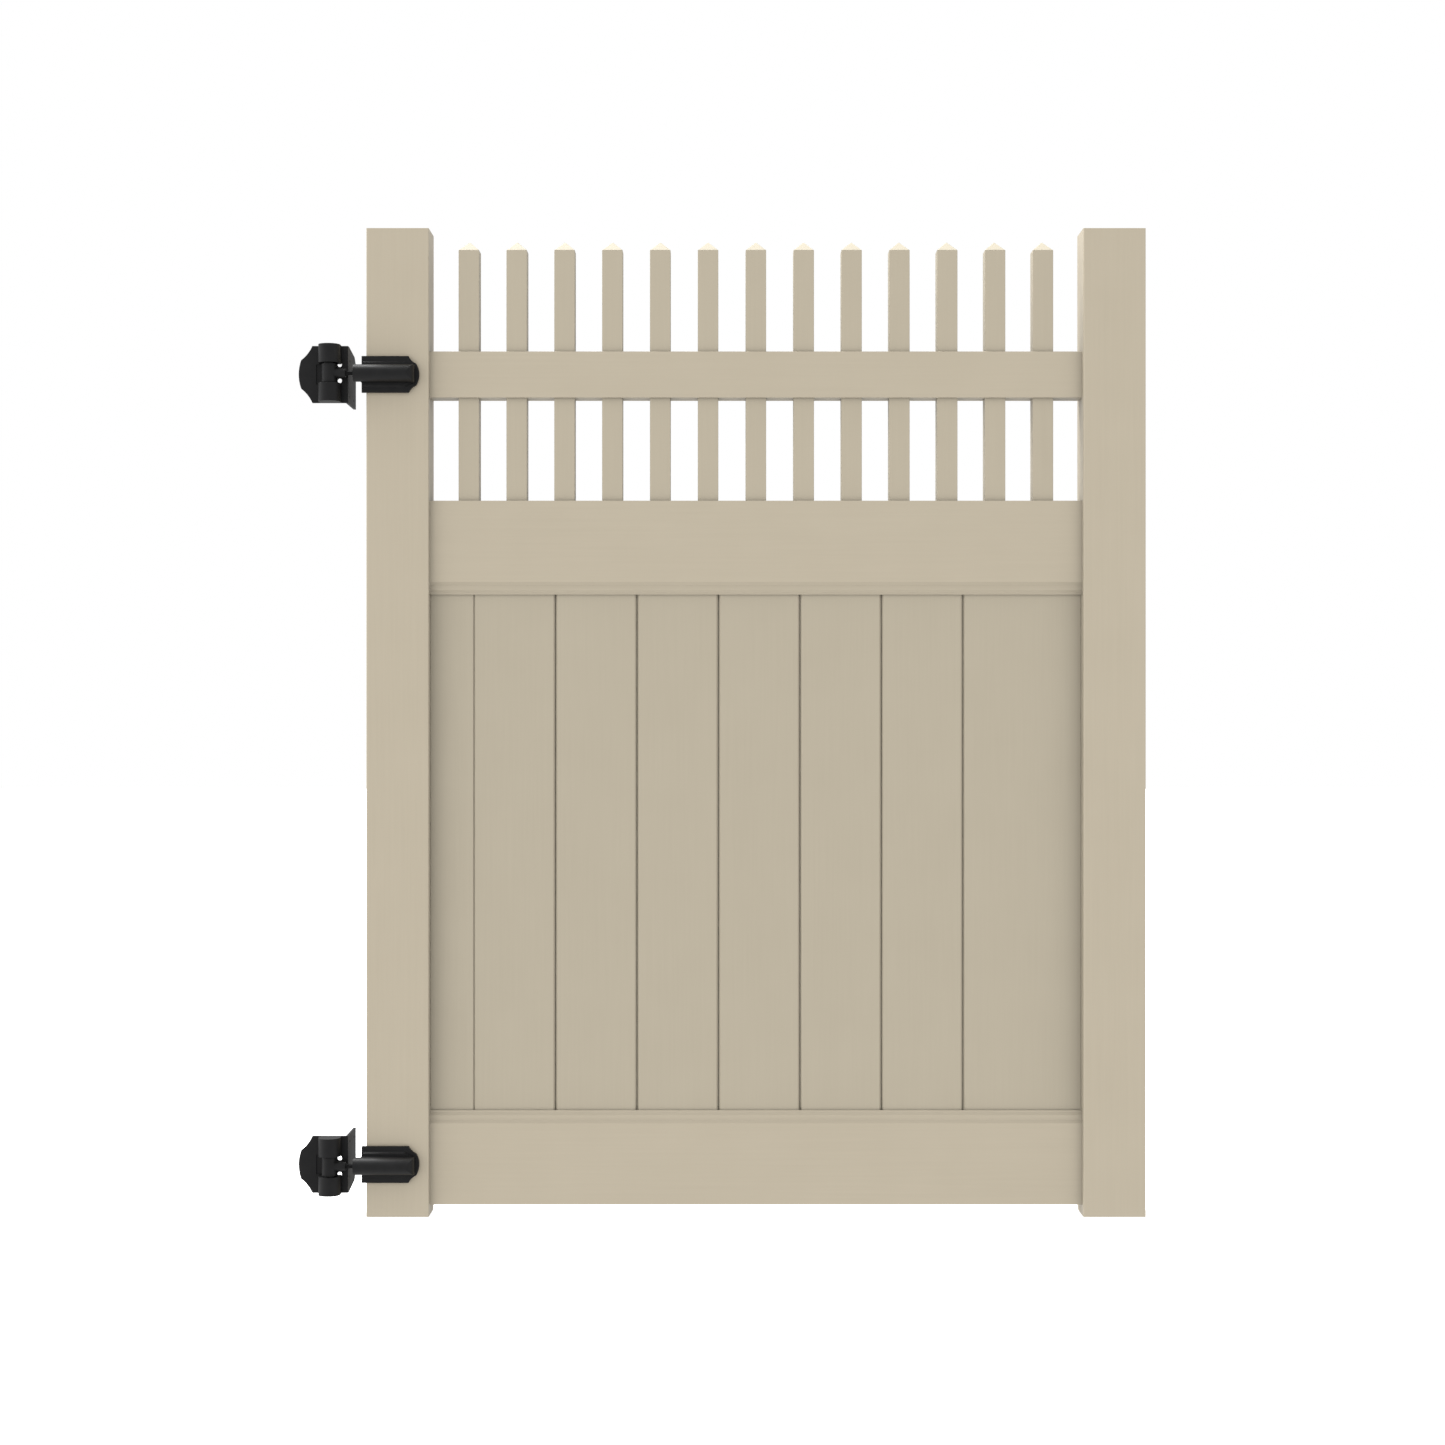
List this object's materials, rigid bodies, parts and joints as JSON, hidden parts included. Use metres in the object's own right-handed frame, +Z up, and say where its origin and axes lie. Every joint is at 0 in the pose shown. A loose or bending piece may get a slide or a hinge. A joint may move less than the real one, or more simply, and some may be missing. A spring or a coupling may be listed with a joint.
{
  "type": "garden gate",
  "caption": "Tall hollow vinyl garden gate of boards below and pickets above, between two uprights, on black self-closing hinges.",
  "frame": {"origin": "under the centre of the box of gate and hinges, level with the foot of the uprights", "axes": "+X from the hinge side to the latch side, +Y from the front to the back, +Z up; the gate is closed at rest"},
  "size_m": [1.5658, 0.1384, 1.8288],
  "materials": {
    "frame_vinyl": "satin tan PVC extrusion",
    "board_vinyl": "satin tan PVC extrusion",
    "picket_vinyl": "satin tan PVC extrusion",
    "cap_vinyl": "satin tan moulded PVC",
    "hinge_black": "fine-textured black glass-filled nylon",
    "cap_black": "black moulded nylon",
    "nylon": "plain black moulded nylon",
    "steel": "stainless steel",
    "black_steel": "black-coated steel",
    "spring_steel": "oiled spring steel",
    "aluminium": "mill-finish extrusion"
  },
  "bodies": {
    "post_side": {"upper_post_leaf": "hinge_black", "upper_pin": "steel", "lower_post_leaf": "hinge_black", "lower_pin": "steel"},
    "upper_adjuster": {"upper_tension_cap": "cap_black", "upper_spring": "spring_steel"},
    "lower_adjuster": {"lower_tension_cap": "cap_black", "lower_spring": "spring_steel"},
    "upper_swivel": {"upper_knuckle": "hinge_black", "upper_knuckle_bushes": "nylon", "upper_adjusting_bolt": "black_steel"},
    "lower_swivel": {"lower_knuckle": "hinge_black", "lower_knuckle_bushes": "nylon", "lower_adjusting_bolt": "black_steel"},
    "gate": {"hinge_upright": "frame_vinyl", "latch_upright": "frame_vinyl", "hinge_upright_foot_plug": "cap_vinyl", "hinge_upright_top_plug": "cap_vinyl", "hinge_upright_insert": "aluminium", "latch_upright_foot_plug": "cap_vinyl", "latch_upright_top_plug": "cap_vinyl", "latch_upright_insert": "aluminium", "top_rail": "frame_vinyl", "middle_rail": "frame_vinyl", "bottom_rail": "frame_vinyl", "middle_rail_stiffener": "aluminium", "bottom_rail_stiffener": "aluminium", "rail_end_blocks": "aluminium", "frame_screws": "steel", "board_1": "board_vinyl", "board_2": "board_vinyl", "board_3": "board_vinyl", "board_4": "board_vinyl", "board_5": "board_vinyl", "board_6": "board_vinyl", "board_7": "board_vinyl", "board_8": "board_vinyl", "picket_01": "picket_vinyl", "picket_02": "picket_vinyl", "picket_03": "picket_vinyl", "picket_04": "picket_vinyl", "picket_05": "picket_vinyl", "picket_06": "picket_vinyl", "picket_07": "picket_vinyl", "picket_08": "picket_vinyl", "picket_09": "picket_vinyl", "picket_10": "picket_vinyl", "picket_11": "picket_vinyl", "picket_12": "picket_vinyl", "picket_13": "picket_vinyl", "picket_caps": "cap_vinyl", "upper_strap": "hinge_black", "upper_strap_cover": "hinge_black", "upper_strap_screws": "steel", "lower_strap": "hinge_black", "lower_strap_cover": "hinge_black", "lower_strap_screws": "steel"}
  },
  "joints": [
    {"name": "gate_swing", "type": "hinge", "parent": "post_side", "child": "upper_swivel", "pos_m": [-0.7235, -0.04915, 1.5575], "axis": [0, 0, -1], "range_deg": [0, 110], "stiffness_Nm_per_rad": 6, "springref_deg": -68.75},
    {"name": "gap_adjust", "type": "slide", "parent": "upper_swivel", "child": "gate", "axis": [1, 0, 0], "range_m": [-0.005, 0.008]},
    {"name": "lower_gap_adjust", "type": "slide", "parent": "gate", "child": "lower_swivel", "axis": [1, 0, 0], "range_m": [-0.008, 0.005]},
    {"name": "upper_tension_set", "type": "hinge", "parent": "post_side", "child": "upper_adjuster", "pos_m": [-0.7235, -0.04915, 1.6075], "axis": [0, 0, 1], "range_deg": [0, 270]},
    {"name": "lower_tension_set", "type": "hinge", "parent": "post_side", "child": "lower_adjuster", "pos_m": [-0.7235, -0.04915, 0.048], "axis": [0, 0, -1], "range_deg": [0, 270]}
  ],
  "couplings": [
    {"joint": "lower_gap_adjust", "follows": "gap_adjust", "ratio": -1}
  ]
}
